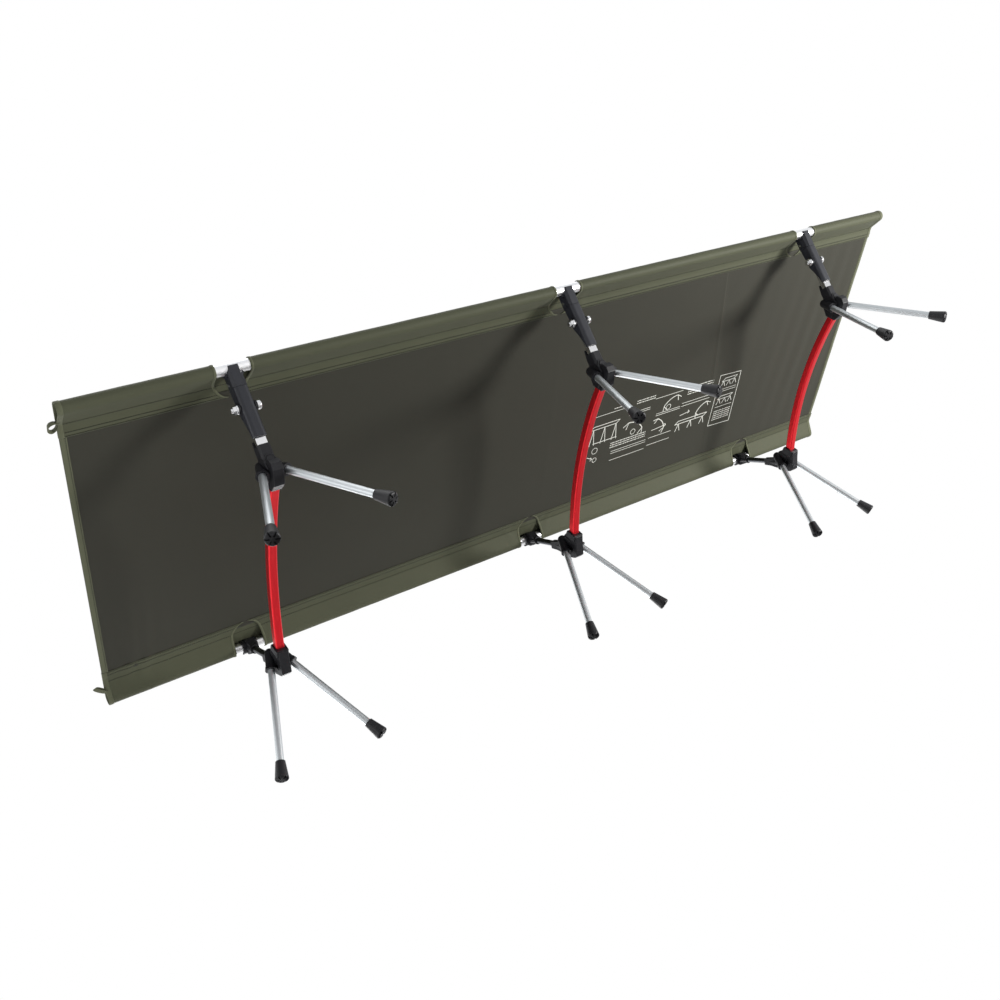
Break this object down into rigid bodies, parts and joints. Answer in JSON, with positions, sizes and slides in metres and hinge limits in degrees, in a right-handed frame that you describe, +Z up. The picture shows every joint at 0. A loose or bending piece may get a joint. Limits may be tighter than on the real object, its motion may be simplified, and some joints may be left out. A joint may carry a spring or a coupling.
{
  "type": "folding camp stretcher",
  "caption": "Low folding bed: cloth stretched between two tubes, on bowed cross frames with splayed plug-in legs, rubber feet and over-centre tension levers.",
  "frame": {"origin": "on the floor, under the middle of the object's box", "axes": "+X along the bed, from the end with the corner loops to the other; +Y across the bed, from the lever side to the clip side; +Z up"},
  "size_m": [1.919, 0.6378, 0.3574],
  "materials": {
    "panel_cloth": "dark olive-brown coated polyester, fine weave",
    "sleeve_cloth": "olive woven polyester",
    "edge_tape": "olive ribbed binding tape",
    "pole_metal": "silver anodised tube",
    "inner_metal": "plain drawn tube",
    "leg_metal": "drawn tube, satin along its length",
    "red_metal": "red anodised tube",
    "dark_metal": "dark grey anodised tube",
    "bright_steel": "zinc plated, bright",
    "black_plastic": "moulded black nylon",
    "lever_plastic": "moulded charcoal nylon",
    "foot_rubber": "moulded black rubber",
    "cord": "elastic cord"
  },
  "bodies": {
    "root": {"arm_rivets": "black_plastic", "bed_panel": "panel_cloth", "bow_tube_1": "red_metal", "bow_tube_2": "red_metal", "bow_tube_3": "red_metal", "clip_arms": "dark_metal", "clip_hub_1": "black_plastic", "clip_hub_2": "black_plastic", "clip_hub_3": "black_plastic", "clip_side_pole": "pole_metal", "end_tapes": "edge_tape", "lever_arm_1": "bright_steel", "lever_arm_2": "bright_steel", "lever_arm_3": "bright_steel", "lever_hub_1": "black_plastic", "lever_hub_2": "black_plastic", "lever_hub_3": "black_plastic", "lever_side_pole": "pole_metal", "pivot_bolts": "bright_steel", "pivot_nuts": "bright_steel", "pivot_washers": "black_plastic", "pole_clips": "black_plastic", "pole_end_plugs": "black_plastic", "pole_ferrules": "inner_metal", "shock_cords": "cord", "sleeve_clip_side": "sleeve_cloth", "sleeve_lever_side": "sleeve_cloth"},
    "lever_1": {"tension_lever_1": "lever_plastic"},
    "hook_1": {"pole_hook_1": "lever_plastic", "hook_pin_1": "bright_steel"},
    "lever_near_leg_1": {"leg_lever_near_1": "leg_metal", "foot_lever_near_1": "foot_rubber"},
    "lever_far_leg_1": {"leg_lever_far_1": "leg_metal", "foot_lever_far_1": "foot_rubber"},
    "clip_near_leg_1": {"leg_clip_near_1": "leg_metal", "foot_clip_near_1": "foot_rubber"},
    "clip_far_leg_1": {"leg_clip_far_1": "leg_metal", "foot_clip_far_1": "foot_rubber"},
    "lever_2": {"tension_lever_2": "lever_plastic"},
    "hook_2": {"pole_hook_2": "lever_plastic", "hook_pin_2": "bright_steel"},
    "lever_near_leg_2": {"leg_lever_near_2": "leg_metal", "foot_lever_near_2": "foot_rubber"},
    "lever_far_leg_2": {"leg_lever_far_2": "leg_metal", "foot_lever_far_2": "foot_rubber"},
    "clip_near_leg_2": {"leg_clip_near_2": "leg_metal", "foot_clip_near_2": "foot_rubber"},
    "clip_far_leg_2": {"leg_clip_far_2": "leg_metal", "foot_clip_far_2": "foot_rubber"},
    "lever_3": {"tension_lever_3": "lever_plastic"},
    "hook_3": {"pole_hook_3": "lever_plastic", "hook_pin_3": "bright_steel"},
    "lever_near_leg_3": {"leg_lever_near_3": "leg_metal", "foot_lever_near_3": "foot_rubber"},
    "lever_far_leg_3": {"leg_lever_far_3": "leg_metal", "foot_lever_far_3": "foot_rubber"},
    "clip_near_leg_3": {"leg_clip_near_3": "leg_metal", "foot_clip_near_3": "foot_rubber"},
    "clip_far_leg_3": {"leg_clip_far_3": "leg_metal", "foot_clip_far_3": "foot_rubber"}
  },
  "joints": [
    {"name": "lever_1_swing", "type": "hinge", "parent": "root", "child": "lever_1", "pos_m": [-0.6685, -0.2642, 0.29292], "axis": [-1, 0, 0], "range_deg": [0, 120]},
    {"name": "hook_1_turn", "type": "hinge", "parent": "root", "child": "hook_1", "pos_m": [-0.6685, -0.3075, 0.346], "axis": [1, 0, 0], "range_deg": [0, 8]},
    {"name": "lever_near_leg_1_pull", "type": "slide", "parent": "root", "child": "lever_near_leg_1", "axis": [-0.3544, -0.2094, -0.9113], "range_m": [0, 0.03], "stiffness_N_per_m": 150, "springref_m": -0.04},
    {"name": "lever_far_leg_1_pull", "type": "slide", "parent": "root", "child": "lever_far_leg_1", "axis": [0.3544, -0.2094, -0.9113], "range_m": [0, 0.03], "stiffness_N_per_m": 150, "springref_m": -0.04},
    {"name": "clip_near_leg_1_pull", "type": "slide", "parent": "root", "child": "clip_near_leg_1", "axis": [-0.3544, 0.2094, -0.9113], "range_m": [0, 0.03], "stiffness_N_per_m": 150, "springref_m": -0.04},
    {"name": "clip_far_leg_1_pull", "type": "slide", "parent": "root", "child": "clip_far_leg_1", "axis": [0.3544, 0.2094, -0.9113], "range_m": [0, 0.03], "stiffness_N_per_m": 150, "springref_m": -0.04},
    {"name": "lever_2_swing", "type": "hinge", "parent": "root", "child": "lever_2", "pos_m": [0.0095, -0.2642, 0.29292], "axis": [-1, 0, 0], "range_deg": [0, 120]},
    {"name": "hook_2_turn", "type": "hinge", "parent": "root", "child": "hook_2", "pos_m": [0.0095, -0.3075, 0.346], "axis": [1, 0, 0], "range_deg": [0, 8]},
    {"name": "lever_near_leg_2_pull", "type": "slide", "parent": "root", "child": "lever_near_leg_2", "axis": [-0.3544, -0.2094, -0.9113], "range_m": [0, 0.03], "stiffness_N_per_m": 150, "springref_m": -0.04},
    {"name": "lever_far_leg_2_pull", "type": "slide", "parent": "root", "child": "lever_far_leg_2", "axis": [0.3544, -0.2094, -0.9113], "range_m": [0, 0.03], "stiffness_N_per_m": 150, "springref_m": -0.04},
    {"name": "clip_near_leg_2_pull", "type": "slide", "parent": "root", "child": "clip_near_leg_2", "axis": [-0.3544, 0.2094, -0.9113], "range_m": [0, 0.03], "stiffness_N_per_m": 150, "springref_m": -0.04},
    {"name": "clip_far_leg_2_pull", "type": "slide", "parent": "root", "child": "clip_far_leg_2", "axis": [0.3544, 0.2094, -0.9113], "range_m": [0, 0.03], "stiffness_N_per_m": 150, "springref_m": -0.04},
    {"name": "lever_3_swing", "type": "hinge", "parent": "root", "child": "lever_3", "pos_m": [0.6875, -0.2642, 0.29292], "axis": [-1, 0, 0], "range_deg": [0, 120]},
    {"name": "hook_3_turn", "type": "hinge", "parent": "root", "child": "hook_3", "pos_m": [0.6875, -0.3075, 0.346], "axis": [1, 0, 0], "range_deg": [0, 8]},
    {"name": "lever_near_leg_3_pull", "type": "slide", "parent": "root", "child": "lever_near_leg_3", "axis": [-0.3544, -0.2094, -0.9113], "range_m": [0, 0.03], "stiffness_N_per_m": 150, "springref_m": -0.04},
    {"name": "lever_far_leg_3_pull", "type": "slide", "parent": "root", "child": "lever_far_leg_3", "axis": [0.3544, -0.2094, -0.9113], "range_m": [0, 0.03], "stiffness_N_per_m": 150, "springref_m": -0.04},
    {"name": "clip_near_leg_3_pull", "type": "slide", "parent": "root", "child": "clip_near_leg_3", "axis": [-0.3544, 0.2094, -0.9113], "range_m": [0, 0.03], "stiffness_N_per_m": 150, "springref_m": -0.04},
    {"name": "clip_far_leg_3_pull", "type": "slide", "parent": "root", "child": "clip_far_leg_3", "axis": [0.3544, 0.2094, -0.9113], "range_m": [0, 0.03], "stiffness_N_per_m": 150, "springref_m": -0.04}
  ],
  "couplings": [
    {"joint": "hook_1_turn", "follows": "lever_1_swing", "ratio": 0.066667},
    {"joint": "hook_2_turn", "follows": "lever_2_swing", "ratio": 0.066667},
    {"joint": "hook_3_turn", "follows": "lever_3_swing", "ratio": 0.066667}
  ]
}
